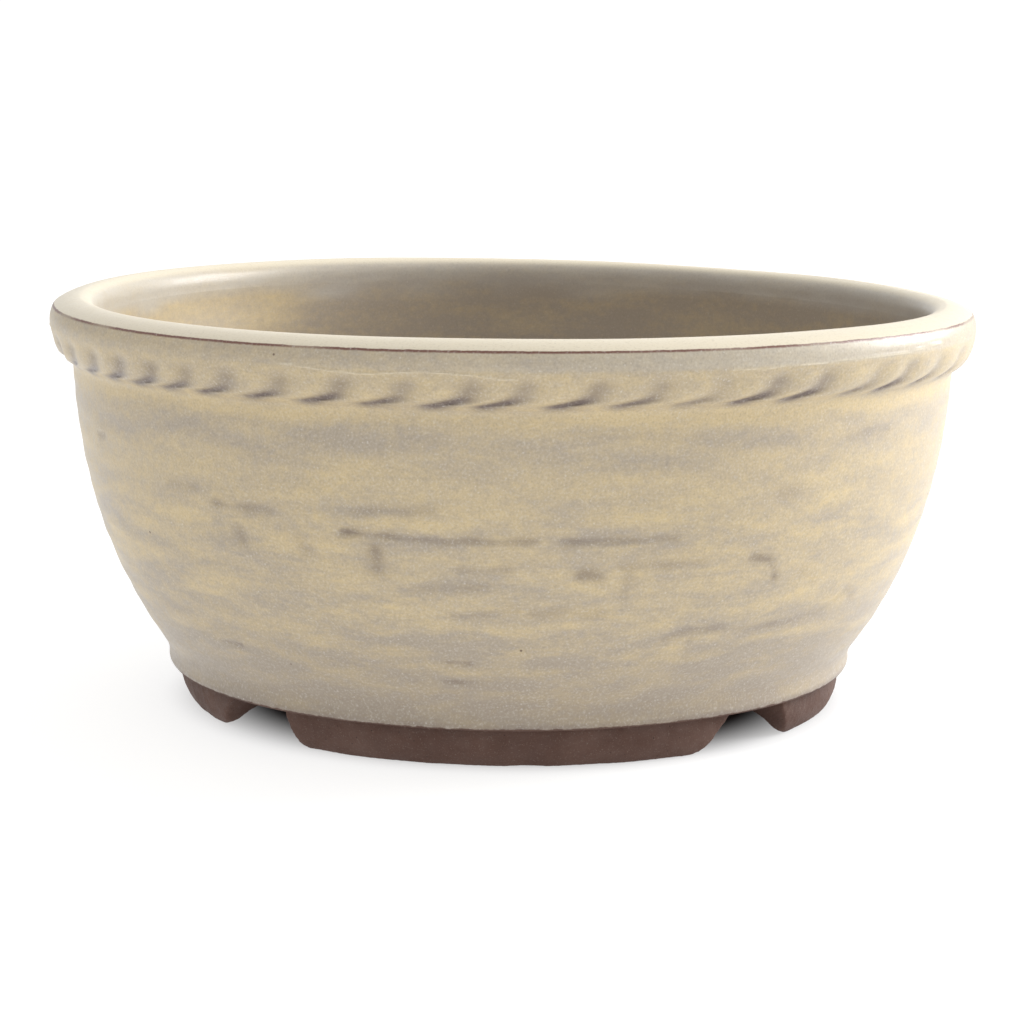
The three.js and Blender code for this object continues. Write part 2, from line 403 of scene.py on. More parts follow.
# The stretches of the thin line where the lip's glaze ends over the rope: (bearing, height) points along each
LIP_GLAZE_EDGE = [
    [
        (-26, 90.4), (-19.5, 89.5), (-15, 89.3), (-11.5, 89.7),
        (-9.5, 89.9), (-4, 89.6), (-2, 89.0), (0.5, 88.6),
    ],  # fmt: skip
    [(24, 89.6), (28, 89.4), (31, 90.4), (36, 90.1), (42, 90.6), (50, 90.6), (59, 91.0)],
    [(84, 90.2), (92, 89.6), (99, 90.1)],
    [(140, 89.6), (149, 90.0), (160, 89.2), (166, 89.5)],
    [(-150, 90.2), (-139, 89.6), (-130, 90.0)],
    [(-98, 89.5), (-88, 89.9), (-80, 89.4)],
]


def glaze_line(bearing, height):
    """0 to 1 on the thin raised line where the lip's glaze laps over the rope, which comes and goes."""
    height = height + 0.12 * LINE_WAVES(bearing, 0.0)
    nearest = np.min([distance_to_line(bearing, height, edge, RIM_RADIUS) for edge in LIP_GLAZE_EDGE], axis=0)
    return np.exp(-((nearest / 0.15) ** 2))


def outer_relief(bearing, height):
    """Outward displacement of the outside skin in mm: along its normal, and straight out from the axis."""
    core, halo = marks_at(bearing, height)
    below_band = 1 - smoothstep(BAND_BOTTOM - 5, BAND_BOTTOM - 1, height)
    on_wall = smoothstep(SKIRT_TOP, SKIRT_TOP + 4, height) * below_band
    wall = -0.35 * core + 0.1 * halo + 0.04 * BRUSH_WAVES(bearing, height) + 0.16 * yellow_at(bearing, height)
    waves = (0.05 + 0.09 * on_wall) * SOFT_WAVES(bearing, height)
    grooves, _ = grooves_at(bearing, height)
    grooves = np.where((height > BAND_BOTTOM) & (height < LIP_BOTTOM), grooves, 0.0)
    return on_wall * wall + waves + 0.18 * glaze_line(bearing, height), -grooves


def inner_relief(bearing, height):
    """Throwing rings and slow waves on the inside of the wall in mm, fading out on the lip."""
    below_lip = 1 - smoothstep(84, 92, height)
    return 0.1 * INNER_RINGS(bearing, height) * below_lip + 0.12 * SOFT_WAVES(bearing, height) * below_lip


# ---------------------------------------------------------------- glaze fields, read by the material

BARE_STEP = 0.04  # how much the bare field grows in each mm past the glaze's edge
OUTER_GLAZE_END = FOOT_TOP + 0.45
INNER_GLAZE_END = 61.0

# Level bands where the glaze runs yellower or greyer: height and half width in mm, and the change of tone
TONE_BANDS = [(79.6, 2.1, 0.42), (74.0, 4.0, -0.2), (65.0, 5.0, 0.12)]

# Where the thick glaze inside has run down: bearing, height, half width in degrees and half height in mm
VEIL_RUNS = [
    (-166, 89.0, 7, 1.6),
    (-150, 88.0, 5, 1.4),
    (168, 89.4, 5, 1.2),
    (100, 88.6, 8, 1.5),
    (-20, 88.5, 9, 1.6),
]


def milky_and_sheen_at(bearing, height):
    """0 to 1: the pale band under the lip inside, part thick milky glaze and part painted reflection, paler
    towards the sides, and the milky glaze's runs down here and there.
    """
    edge = 89.2 + 0.8 * SOFT_WAVES(bearing, 2.0) + 0.5 * LINE_WAVES(bearing, 5.0)
    # Part thick milky glaze, part painted reflection: paler towards the sides of the pot.
    milky_and_sheen = (0.6 + 0.22 * np.abs(np.sin(np.radians(bearing)))) * smoothstep(edge - 1.5, edge + 1.0, height)
    for centre, z, half_angle, half_height in VEIL_RUNS:
        run = np.exp(-((wrap(bearing - centre) / half_angle) ** 2) - ((height - z) / half_height) ** 2)
        milky_and_sheen = np.maximum(milky_and_sheen, 0.8 * run)
    return milky_and_sheen


def bare_share(depth):
    """0.5 on the glaze's edge, more by a step for each mm into the bare clay, less into the glaze."""
    return 0.5 + BARE_STEP * depth


def outer_tone(bearing, height, halo, pooled):
    """0 for mauve to 1 for yellow, on the outside."""
    tone = 0.52 + 0.05 * PATCH_WAVES(bearing, height) + 0.06 * BRUSH_WAVES(bearing, height)
    for centre, half_width, change in TONE_BANDS:
        tone = tone + change * bell(height, centre, half_width)
    tone = tone + 0.7 * yellow_at(bearing, height) - 0.16 * halo
    # Darker and mauver towards the skirt: partly thicker glaze there, partly painted shade of the lower wall.
    tone = tone - 0.34 * (1 - smoothstep(12, 44, height))
    under_lip = 0.2 * smoothstep(LIP_BOTTOM - 0.6, LIP_BOTTOM + 0.8, height)
    return np.where(height > BAND_BOTTOM, 0.66 - 0.4 * pooled - under_lip, tone)


def outer_fields(bearing, height):
    core, halo = marks_at(bearing, height)
    on_band = smoothstep(BAND_BOTTOM - 0.9, BAND_BOTTOM + 0.2, height) * (height < LIP_BOTTOM)
    on_wall = (height > SKIRT_TOP - 1) * (1 - smoothstep(BAND_BOTTOM - 1, BAND_BOTTOM, height))
    pooled = grooves_at(bearing, height)[1] * on_band

    pool_and_shade = np.maximum(0.7 * core * on_wall, pooled)
    # Dark towards the foot, fading out 32 mm above it: partly thicker glaze, partly painted shade.
    pool_and_shade = np.maximum(pool_and_shade, 0.3 * (1 - smoothstep(FOOT_TOP + 1, FOOT_TOP + 32, height)))
    pool_and_shade = np.maximum(pool_and_shade, 0.6 * (1 - smoothstep(FOOT_TOP + 1.1, FOOT_TOP + 1.7, height)))
    worn_front = 0.5 * LINE_WAVES(bearing + 80.0, 1.0) + np.cos(np.radians(bearing + 22))
    lip_side = smoothstep(LIP_BOTTOM - 0.5, LIP_BOTTOM + 0.5, height)
    return {
        "tone": outer_tone(bearing, height, halo * on_wall, pooled),
        "pool_and_shade": pool_and_shade,
        "cream": 0.6 * glaze_line(bearing, height),
        "worn": 0.3 + 0.7 * smoothstep(-0.6, 0.7, worn_front),
        "bare": bare_share(OUTER_GLAZE_END - height),
        # Painted sheen: the lip's outer side is paler, most of all towards the right front round bearing 35.
        "milky_and_sheen": lip_side * (0.1 + 0.45 * bell(bearing, 35, 38)),
    }


def inner_fields(bearing, height):
    edge = INNER_GLAZE_END + 2.2 * SOFT_WAVES(bearing, 0.0) + 0.9 * LINE_WAVES(bearing, 3.0)
    # Painted shade and light inside: the tone is kept low, mauver than outside, as painted shade in the
    # bowl's hollow, and raised to yellow on the left inside, from bearing -152 to -40, as painted light.
    painted_light_side = smoothstep(-152, -138, bearing) * (1 - smoothstep(-70, -40, bearing))
    tone = 0.22 + 0.05 * PATCH_WAVES(bearing, height) + 0.05 * BRUSH_WAVES(bearing, height)
    return {
        "tone": tone + 0.55 * painted_light_side,
        "pool_and_shade": 0.5 * bell(height, edge + 1.6, 1.6),
        "cream": smoothstep(ARRIS_HEIGHT + 0.1, CREST_HEIGHT - 0.4, height),
        "worn": np.zeros_like(tone),
        "bare": bare_share(edge - height),
        "milky_and_sheen": milky_and_sheen_at(bearing, height),
    }


def glaze_fields(bearing, height, outside):
    """Per-vertex fields from 0 to 1 that the glaze is coloured by.

    tone runs from mauve to yellow; pool_and_shade is dark, where the glaze pools and, towards the foot, as
    painted shade too;
    cream, milky_and_sheen and bare are where each of those shows, milky_and_sheen being thick milky glaze
    with painted reflection inside under the lip and painted sheen on its outside; worn is how strong the
    brown line on the arris is, and 0 inside; level is the height over 100.
    """
    fields = outer_fields(bearing, height) if outside else inner_fields(bearing, height)
    fields["level"] = height / 100
    return {name: np.clip(values, 0, 1) for name, values in fields.items()}


# ---------------------------------------------------------------- how the pot sits off true

# The rim's shift after throwing and firing, in mm: a rise, a tilt, and an oval twist of its height and width,
# each pair the cosine and sine parts by bearing
RIM_RISE = 0.69
RIM_TILT = (-0.9, -0.53)
RIM_TWIST = (0.19, 0.44)
RIM_OVAL = (0.36, 0.08)
FOOT_LEAN = 0.55  # how far the wall stands off its soles towards -X; the mouth takes back MOUTH_LEAN of it
MOUTH_LEAN = 0.37
MOUTH_LEAN_HEIGHTS = (38, 68)
SWELL = 0.46  # how much the wall's radius grows from the skirt's top to SWELL_TOP
SWELL_TOP = 72


def hand_made(points):
    """The slow lean and twist of the whole pot, growing from nothing at the soles, on points in mm."""
    x, y, z = points.T
    bearing = np.arctan2(x, -y)
    share = np.clip(z / RIM_TOP, 0, 1) ** 2
    rise = RIM_RISE + RIM_TILT[0] * np.cos(bearing) + RIM_TILT[1] * np.sin(bearing)
    rise = rise + RIM_TWIST[0] * np.cos(2 * bearing) + RIM_TWIST[1] * np.sin(2 * bearing)
    widen = RIM_OVAL[0] * np.cos(2 * bearing) + RIM_OVAL[1] * np.sin(2 * bearing)
    stretch = 1 + (share * widen + SWELL * smoothstep(SKIRT_TOP, SWELL_TOP, z)) / RIM_RADIUS
    lean = MOUTH_LEAN * smoothstep(*MOUTH_LEAN_HEIGHTS, z) - FOOT_LEAN * smoothstep(0, FOOT_TOP, z)
    return np.stack([x * stretch + lean, y * stretch, z + share * rise], axis=1)


# ---------------------------------------------------------------- meshes

SHARP_ANGLE = 50  # degrees between faces from which an edge is left sharp


def mesh_object(name, points, faces, fields):
    """A smooth-shaded mesh from points in mm, with each field as a value on its points."""
    mesh = bpy.data.meshes.new(name)
    mesh.from_pydata((points * MM).tolist(), [], faces.tolist())
    mesh.update()
    for field, values in fields.items():
        layer = mesh.attributes.new(field, "FLOAT", "POINT")
        layer.data.foreach_set("value", np.asarray(values, np.float32).ravel())
    mesh.polygons.foreach_set("use_smooth", np.ones(len(mesh.polygons), bool))
    piece = bpy.data.objects.new(name, mesh)
    bpy.context.scene.collection.objects.link(piece)
    return piece


def mark_sharp(piece, degrees):
    bpy.context.view_layer.objects.active = piece
    piece.select_set(True)
    bpy.ops.object.shade_smooth_by_angle(angle=math.radians(degrees))
    piece.select_set(False)


def normals_of(line):
    """Unit normals of a (radius, height) line, to its right as it runs."""
    step = np.gradient(line, axis=0)
    step /= np.hypot(*step.T)[:, None]
    return np.stack([step[:, 1], -step[:, 0]], axis=1)


def relief_on(kind, bearings, height):
    """Displacement of a row of points in mm: along the section's normal, and straight out from the axis."""
    if kind == "outside":
        return outer_relief(bearings, height)
    if kind == "inside":
        return inner_relief(bearings, height), 0.0
    return np.zeros_like(bearings), 0.0


def ring_quads(row_count, columns):
    """The faces of a grid of points that closes on itself both round the axis and round the section."""
    row = np.arange(row_count)[:, None]
    column = np.arange(columns)[None, :]
    next_row, next_column = (row + 1) % row_count, (column + 1) % columns
    corners = [(row, column), (row, next_column), (next_row, next_column), (next_row, column)]
    return np.stack([r * columns + c for r, c in corners], axis=-1).reshape(-1, 4)


def ring_piece(name, parts, columns):
    """A closed ring swept round the axis.

    parts is a list of (line, kind), each line of (radius, height) points going counter-clockwise round the
    section; kind is "outside", "inside" or "hidden". A hidden line's ends belong to its neighbours.
    """
    bearings = np.linspace(-180, 180, columns, endpoint=False)
    angle = np.radians(bearings)
    rows, field_rows = [], []
    for line, kind in parts:
        line = np.asarray(line, float)
        normal = normals_of(line)
        own = slice(1, -1) if kind == "hidden" else slice(None)
        for (r, z), (nr, nz) in zip(line[own], normal[own], strict=True):
            height = np.full_like(bearings, z)
            push, straight = relief_on(kind, bearings, height)
            radius = r + nr * push + straight
            rows.append(np.stack([radius * np.sin(angle), -radius * np.cos(angle), z + nz * push], axis=1))
            field_rows.append(glaze_fields(bearings, height, kind != "inside"))
    points = hand_made(np.concatenate(rows))
    fields = {key: np.concatenate([row[key] for row in field_rows]) for key in field_rows[0]}
    piece = mesh_object(name, points, ring_quads(len(rows), columns), fields)
    mark_sharp(piece, SHARP_ANGLE)
    return piece


# How many points each ring has round the axis, and how far apart they are along its section in mm
SKIRT_COLUMNS, SKIRT_SPACING, UNDERSIDE_SPACING = 900, 0.5, 0.9
WALL_COLUMNS, WALL_SPACING, INSIDE_SPACING = 660, 0.7, 2.5
BAND_COLUMNS, BAND_SPACING = 2000, 0.28
LIP_COLUMNS, LIP_SPACING, LIP_INSIDE_SPACING = 900, 0.4, 0.5
BAND_MIDDLE = 86.0
SKIRT_MIDDLE = 12.0
ON_FLOOR = FLOOR_TOP + 0.02


def build_skirt(line):
    under = resample([(SKIRT_BORE, FOOT_TOP), line[0]], UNDERSIDE_SPACING)
    shown = np.vstack([under[:-1], resample(line, SKIRT_SPACING)])
    back = [(SEAT_RADIUS, SKIRT_TOP), (SKIRT_BORE, SKIRT_TOP), (SKIRT_BORE, SKIRT_MIDDLE)]
    parts = [(shown, "outside"), ([line[-1], *back, under[0]], "hidden")]
    return ring_piece("skirt_ring_visual", parts, SKIRT_COLUMNS)


def build_wall(line, inner_line):
    top = [
        line[-1],
        (WALL_TOP_RADIUS, BAND_BOTTOM + 0.4),
        (WALL_TOP_RADIUS, BAND_MIDDLE),
        (WALL_TOP_RADIUS, LIP_BOTTOM),
        (inner_line[0][0] + 2.5, LIP_BOTTOM),
        inner_line[0],
    ]
    seat = [
        inner_line[-1],
        (72.0, ON_FLOOR),
        (SKIRT_BORE, ON_FLOOR),
        (SKIRT_BORE, SKIRT_TOP),
        (SEAT_RADIUS, SKIRT_TOP),
        line[0],
    ]
    parts = [
        (resample(line, WALL_SPACING), "outside"),
        (top, "hidden"),
        (resample(inner_line, INSIDE_SPACING), "inside"),
        (seat, "hidden"),
    ]
    return ring_piece("bowl_wall_visual", parts, WALL_COLUMNS)


def build_band(line):
    bore = WALL_TOP_RADIUS + SLIP_GAP
    back = [line[-1], (bore, LIP_BOTTOM), (bore, BAND_MIDDLE), (bore, BAND_BOTTOM + 0.3), line[0]]
    parts = [(resample(line, BAND_SPACING), "outside"), (back, "hidden")]
    return ring_piece("rope_band_visual", parts, BAND_COLUMNS)


def build_lip(outer_line, inner_line):
    outside = resample(outer_line, LIP_SPACING)
    inside = resample(inner_line, LIP_INSIDE_SPACING)[1:]
    underside = [inside[-1], (101.5, LIP_BOTTOM), (106.0, LIP_BOTTOM), outside[0]]
    parts = [(outside, "outside"), (inside, "inside"), (underside, "hidden")]
    return ring_piece("lip_ring_visual", parts, LIP_COLUMNS)


def build_rings():
    """The four rings, cut from one section so that each one's edge lies on the next one's."""
    skirt_line, rest = cut_at_height(outer_section(), SKIRT_TOP)
    wall_line, rest = cut_at_height(rest[1:], BAND_BOTTOM)
    wall_line = np.vstack([skirt_line[-1:], wall_line])
    band_line, lip_line = cut_at_height(rest, LIP_BOTTOM)
    inner_lip_line, inner_wall_line = cut_at_height(inner_section(), LIP_BOTTOM)
    return {
        "skirt_ring": build_skirt(skirt_line),
        "bowl_wall": build_wall(wall_line, inner_wall_line),
        "rope_band": build_band(band_line),
        "lip_ring": build_lip(lip_line, inner_lip_line),
    }


# ---------------------------------------------------------------- feet and floor

FOOT_BEARINGS = {"foot_front": 0, "foot_right": 90, "foot_back": 180, "foot_left": -90}
NOTCH_BEARING = 42.6
FOOT_EMBED = 0.7  # how far a foot and the body run into each other, where they are one piece of clay
FOOT_GRID = (120, 8, 14)
FOOT_VOXEL, FOOT_PASSES = 0.42, 11
SLAB_VOXEL, SLAB_PASSES = 0.72, 3
DRAIN_RADIUS = 13.0
WIRE_HOLE_RADIUS = 2.5
WIRE_PITCH_RADIUS = 44.0
LUMP_WAVES = 24  # summed for the uneven surface of the clay
THROWING_PITCH = 8.5  # from one spiral ridge on the floor to the next
TRIMMING_PITCH = 3.1  # and from one tool mark under it to the next

# The ends of the foot before a notch and the foot after it: heights, and how far along the notch's tangent
# from its middle the end is there
NOTCH_START = (
    [0.0, 0.4, 1.1, 2.7, 4.2, 5.8, 7.4, 10.0],
    [-16.0, -14.2, -12.6, -11.2, -10.2, -8.8, -7.0, -5.2],
)
NOTCH_END = ([0.0, 0.5, 1.3, 3.8, 6.7, 10.0], [17.0, 15.2, 14.2, 13.5, 12.6, 11.8])

INNER_FACE = ([0, 0.5, 1], [69.4, 69.2, 68.6])  # share of a foot's height, radius of its inner face
OUTER_FACE_RADIUS = 80.0
TUCK = 2.7  # how far the outer face draws in at the sole
SOLE = ([69.6, 72.5, 76.2, 78], [4.2, 3.1, 0.3, 0])  # radius, height of the sole, bevelled on its inner side


def foot_end_bearing(radius, height, line, offset):
    along = np.interp(height, *line)
    return NOTCH_BEARING + offset + np.degrees(np.arcsin(along / radius))


def foot_point(u, v, w):
    """Radius, bearing and height of a point of the front foot: u along it, v outward, w up from the sole."""
    inner = np.interp(w, *INNER_FACE)
    outer = OUTER_FACE_RADIUS - TUCK * (1 - w) ** 3.2
    radius = inner + (outer - inner) * v
    sole = np.interp(radius, *SOLE)
    height = sole + (FOOT_TOP + FOOT_EMBED - sole) * w
    start = foot_end_bearing(radius, height, NOTCH_END, -90)
    end = foot_end_bearing(radius, height, NOTCH_START, 0)
    bearing = start + (end - start) * u
    return radius, bearing, height


def box_faces(counts):
    """The six faces of a unit box as grids of (u, v, w), each with its corner order outward."""
    for axis in range(3):
        for side in (0.0, 1.0):
            first, second = (axis + 1) % 3, (axis + 2) % 3
            if side == 0.0:
                first, second = second, first
            steps = [np.linspace(0, 1, counts[way]) for way in (first, second)]
            a, b = np.meshgrid(*steps, indexing="ij")
            grid = np.zeros((*a.shape, 3))
            grid[..., axis], grid[..., first], grid[..., second] = side, a, b
            yield grid


def grid_quads(rows, columns, start):
    index = start + np.arange(rows * columns).reshape(rows, columns)
    return np.stack([index[:-1, :-1], index[1:, :-1], index[1:, 1:], index[:-1, 1:]], axis=-1).reshape(-1, 4)


def solid_from_box(name, place, counts):
    """A closed mesh of the unit box's surface carried by place(u, v, w) to (x, y, z) in mm."""
    points, quads, start = [], [], 0
    for grid in box_faces(counts):
        points.append(place(grid).reshape(-1, 3))
        quads.append(grid_quads(*grid.shape[:2], start))
        start += len(points[-1])
    piece = mesh_object(name, np.concatenate(points), np.concatenate(quads), {})
    work = bmesh.new()
    work.from_mesh(piece.data)
    bmesh.ops.remove_doubles(work, verts=work.verts, dist=0.01 * MM)
    bmesh.ops.recalc_face_normals(work, faces=work.faces)
    work.to_mesh(piece.data)
    work.free()
    return piece


def apply_modifier(piece, kind, **settings):
    modifier = piece.modifiers.new(kind, kind)
    for key, value in settings.items():
        setattr(modifier, key, value)
    bpy.context.view_layer.objects.active = piece
    bpy.ops.object.modifier_apply(modifier=modifier.name)


def as_clay(piece, voxel, passes):
    """Remeshes a solid finely and rubs its edges round, as damp clay is."""
    apply_modifier(piece, "REMESH", mode="VOXEL", voxel_size=voxel * MM, use_smooth_shade=True)
    apply_modifier(piece, "SMOOTH", factor=0.5, iterations=passes)


def vertices_mm(piece):
    flat = np.empty(len(piece.data.vertices) * 3, np.float32)
    piece.data.vertices.foreach_get("co", flat)
    return flat.reshape(-1, 3).astype(float) / MM


def normals(piece):
    flat = np.empty(len(piece.data.vertices) * 3, np.float32)
    piece.data.vertex_normals.foreach_get("vector", flat)
    return flat.reshape(-1, 3).astype(float)


def move_vertices(piece, points):
    piece.data.vertices.foreach_set("co", (points * MM).astype(np.float32).ravel())
    piece.data.update()


def lumps(points, seed, wavelength):
    """Seeded smooth noise in space, about 1 high at most, with features about a wavelength in mm apart."""
    rng = np.random.default_rng(seed)
    total = np.zeros(len(points))
    for _ in range(LUMP_WAVES):
        direction = rng.normal(size=3)
        direction *= 2 * np.pi / (wavelength * rng.uniform(0.7, 1.6)) / np.linalg.norm(direction)
        total += np.cos(points @ direction + rng.uniform(0, 2 * np.pi))
    return total / math.sqrt(LUMP_WAVES / 2)


def build_foot(node, turn):
    def place(grid):
        radius, bearing, height = foot_point(grid[..., 0], grid[..., 1], grid[..., 2])
        angle = np.radians(bearing + turn)
        return np.stack([radius * np.sin(angle), -radius * np.cos(angle), height], axis=-1)

    foot = solid_from_box(node + "_visual", place, FOOT_GRID)
    as_clay(foot, FOOT_VOXEL, FOOT_PASSES)
    points = vertices_mm(foot)
    points[:, 2] -= points[:, 2].min()
    grain = 0.02 * lumps(points, 21 + turn % 7, 1.3) + 0.06 * lumps(points, 31 + turn % 5, 11.0)
    points = points + normals(foot) * grain[:, None]
    points[:, 2] = np.maximum(points[:, 2], 0.0)
    move_vertices(foot, hand_made(points))
    return foot


def disc_between(name, radius, low, high, sides):
    bpy.ops.mesh.primitive_cylinder_add(
        vertices=sides, radius=radius * MM, depth=(high - low) * MM, location=(0, 0, (low + high) / 2 * MM)
    )
    piece = bpy.context.object
    piece.name = name
    bpy.ops.object.transform_apply(location=True)
    return piece


def pierced_disc():
    """The plain floor with its drain hole and four wire holes."""
    slab = disc_between("floor_slab_visual", SLAB_RADIUS, FOOT_TOP, FLOOR_TOP, 180)
    holes = [(0.0, 0.0, DRAIN_RADIUS)]
    for quarter in range(4):
        angle = math.radians(90 * quarter)
        x, y = WIRE_PITCH_RADIUS * math.sin(angle), -WIRE_PITCH_RADIUS * math.cos(angle)
        holes.append((x, y, WIRE_HOLE_RADIUS))
    for x, y, radius in holes:
        cutter = disc_between("cutter", radius, FOOT_TOP - 5, FLOOR_TOP + 5, 64)
        cutter.location = (x * MM, y * MM, 0)
        apply_modifier(slab, "BOOLEAN", operation="DIFFERENCE", object=cutter, solver="EXACT")
        bpy.data.objects.remove(cutter)
    return slab


def build_slab():
    """The floor with a throwing spiral on top, tool marks below, and its rim tucked under the wall."""
    slab = pierced_disc()
    as_clay(slab, SLAB_VOXEL, SLAB_PASSES)
    points, facing = vertices_mm(slab), normals(slab)[:, 2]
    radius = np.hypot(points[:, 0], points[:, 1])
    bearing = np.arctan2(points[:, 0], -points[:, 1])
    past_drain = smoothstep(DRAIN_RADIUS + 0.5, DRAIN_RADIUS + 5, radius)
    throwing = 0.3 * np.sin(2 * np.pi * radius / THROWING_PITCH - bearing) * past_drain
    throwing = throwing * (1 - smoothstep(FLOOR_CORNER_RADIUS - 9, FLOOR_CORNER_RADIUS, radius))
    tucked = -0.35 * smoothstep(FLOOR_CORNER_RADIUS, FLOOR_CORNER_RADIUS + 2, radius)
    trimming = 0.09 * np.sin(2 * np.pi * radius / TRIMMING_PITCH - bearing) * past_drain
    rough = 0.05 * lumps(points, 51, 2.4)
    below = np.where(facing < -0.5, trimming + rough, 0)
    points[:, 2] += np.where(facing > 0.5, throwing + tucked + rough, below)
    move_vertices(slab, hand_made(points))
    return slab


# ---------------------------------------------------------------- materials


def principled(name):
    material = bpy.data.materials.new(name)
    material.use_nodes = True
    tree = material.node_tree
    shader = tree.nodes["Principled BSDF"]
    return material, tree, shader


# The sockets of a Mix node, which share their names, in its colour mode and in its number mode
COLOUR_A, COLOUR_B, COLOUR_RESULT = 6, 7, 2
NUMBER_A, NUMBER_B, NUMBER_RESULT = 2, 3, 0


class Graph:
    """Short names for building a material's nodes."""

    def __init__(self, tree):
        self.tree = tree

    def node(self, kind, **settings):
        made = self.tree.nodes.new(kind)
        for key, value in settings.items():
            setattr(made, key, value)
        return made

    def link(self, source, target):
        self.tree.links.new(source, target)

    def fill(self, socket, value):
        """Feeds a socket from another node, or sets it to a constant."""
        if isinstance(value, bpy.types.NodeSocket):
            self.link(value, socket)
        else:
            socket.default_value = value

    def math(self, operation, a, b, clamp=False):
        made = self.node("ShaderNodeMath", operation=operation, use_clamp=clamp)
        self.fill(made.inputs[0], a)
        self.fill(made.inputs[1], b)
        return made.outputs[0]

    def plus(self, a, b):
        return self.math("ADD", a, b)

    def times(self, a, b):
        return self.math("MULTIPLY", a, b)

    def swing(self, noise, reach):
        """Noise about its middle, times reach."""
        return self.times(self.math("SUBTRACT", noise, 0.5), reach)

    def field(self, name):
        return self.node("ShaderNodeAttribute", attribute_name=name).outputs["Fac"]

    def place(self, stretch=(1, 1, 1), offset=(0, 0, 0)):
        where = self.node("ShaderNodeTexCoord").outputs["Object"]
        mapping = self.node("ShaderNodeMapping")
        mapping.inputs["Scale"].default_value = stretch
        mapping.inputs["Location"].default_value = offset
        self.link(where, mapping.inputs["Vector"])
        return mapping.outputs["Vector"]

    def noise(self, place, scale, detail=3.0, roughness=0.55, distortion=0.0):
        made = self.node("ShaderNodeTexNoise")
        self.link(place, made.inputs["Vector"])
        made.inputs["Scale"].default_value = scale
        made.inputs["Detail"].default_value = detail
        made.inputs["Roughness"].default_value = roughness
        made.inputs["Distortion"].default_value = distortion
        return made.outputs["Fac"]

    def specks(self, place, scale, size):
        """1 on scattered round specks, 0 elsewhere."""
        made = self.node("ShaderNodeTexVoronoi", feature="F1")
        self.link(place, made.inputs["Vector"])
        made.inputs["Scale"].default_value = scale
        return self.ramp(made.outputs["Distance"], [(size * 0.55, 1), (size, 0)])

    def ramp(self, value, stops, smooth=True):
        made = self.node("ShaderNodeMapRange", interpolation_type="SMOOTHSTEP" if smooth else "LINEAR")
        (low, at_low), (high, at_high) = stops
        self.fill(made.inputs["Value"], value)
        made.inputs["From Min"].default_value = low
        made.inputs["From Max"].default_value = high
        made.inputs["To Min"].default_value = at_low
        made.inputs["To Max"].default_value = at_high
        return made.outputs["Result"]

    def mix(self, factor, a, b):
        """Colour a where factor is 0, colour b where it is 1."""
        made = self.node("ShaderNodeMix", data_type="RGBA")
        self.fill(made.inputs["Factor"], factor)
        for socket, colour in ((COLOUR_A, a), (COLOUR_B, b)):
            is_constant = isinstance(colour, tuple)
            self.fill(made.inputs[socket], (*colour, 1) if is_constant else colour)
        return made.outputs[COLOUR_RESULT]

    def mix_numbers(self, factor, a, b):
        made = self.node("ShaderNodeMix", data_type="FLOAT")
        self.fill(made.inputs["Factor"], factor)
        self.fill(made.inputs[NUMBER_A], a)
        self.fill(made.inputs[NUMBER_B], b)
        return made.outputs[NUMBER_RESULT]

    def bump(self, shader, height, strength, distance):
        made = self.node("ShaderNodeBump")
        made.inputs["Strength"].default_value = strength
        made.inputs["Distance"].default_value = distance
        self.link(height, made.inputs["Height"])
        self.link(made.outputs["Normal"], shader.inputs["Normal"])


YELLOW = (0.65, 0.515, 0.295)
MAUVE = (0.445, 0.375, 0.288)
# Where the glaze pools, and painted shade low on the wall
DARK_POOL_AND_SHADE = (0.16, 0.118, 0.1)
# Thick milky glaze, and the painted sheen and reflection about the lip
MILKY_AND_SHEEN = (0.60, 0.565, 0.50)
CREAM = (0.78, 0.695, 0.53)
BROWN_EDGE = (0.17, 0.062, 0.04)
LIGHT_SPECK = (0.80, 0.77, 0.70)
DARK_SPECK = (0.27, 0.225, 0.18)
CRYSTAL = (0.86, 0.84, 0.80)
PINHOLE = (0.10, 0.05, 0.03)
CLAY_DARK = (0.088, 0.044, 0.032)
CLAY_LIGHT = (0.132, 0.074, 0.056)
CLAY_SAND = (0.30, 0.235, 0.20)
CLAY_PIT = (0.03, 0.018, 0.014)
FLAT = (1, 1, 4.4)  # squeezes noise into level streaks
GLAZE_FIELDS = ("tone", "pool_and_shade", "cream", "worn", "bare", "milky_and_sheen", "level")


def clay_colour(g):
    """Clouded brown clay with pale sand and dark pits, and the noise of its grain."""
    cloud = g.noise(g.place(), 60, 4, 0.6)
    grain = g.noise(g.place(), 2600, 2, 0.7)
    colour = g.mix(g.ramp(cloud, [(0.3, 0), (0.75, 1)]), CLAY_DARK, CLAY_LIGHT)
    colour = g.mix(g.ramp(grain, [(0.56, 0), (0.76, 0.34)]), colour, CLAY_SAND)
    pits = g.specks(g.place(offset=(3, 1, 2)), 520, 0.1)
    return g.mix(g.times(pits, 0.7), colour, CLAY_PIT), grain


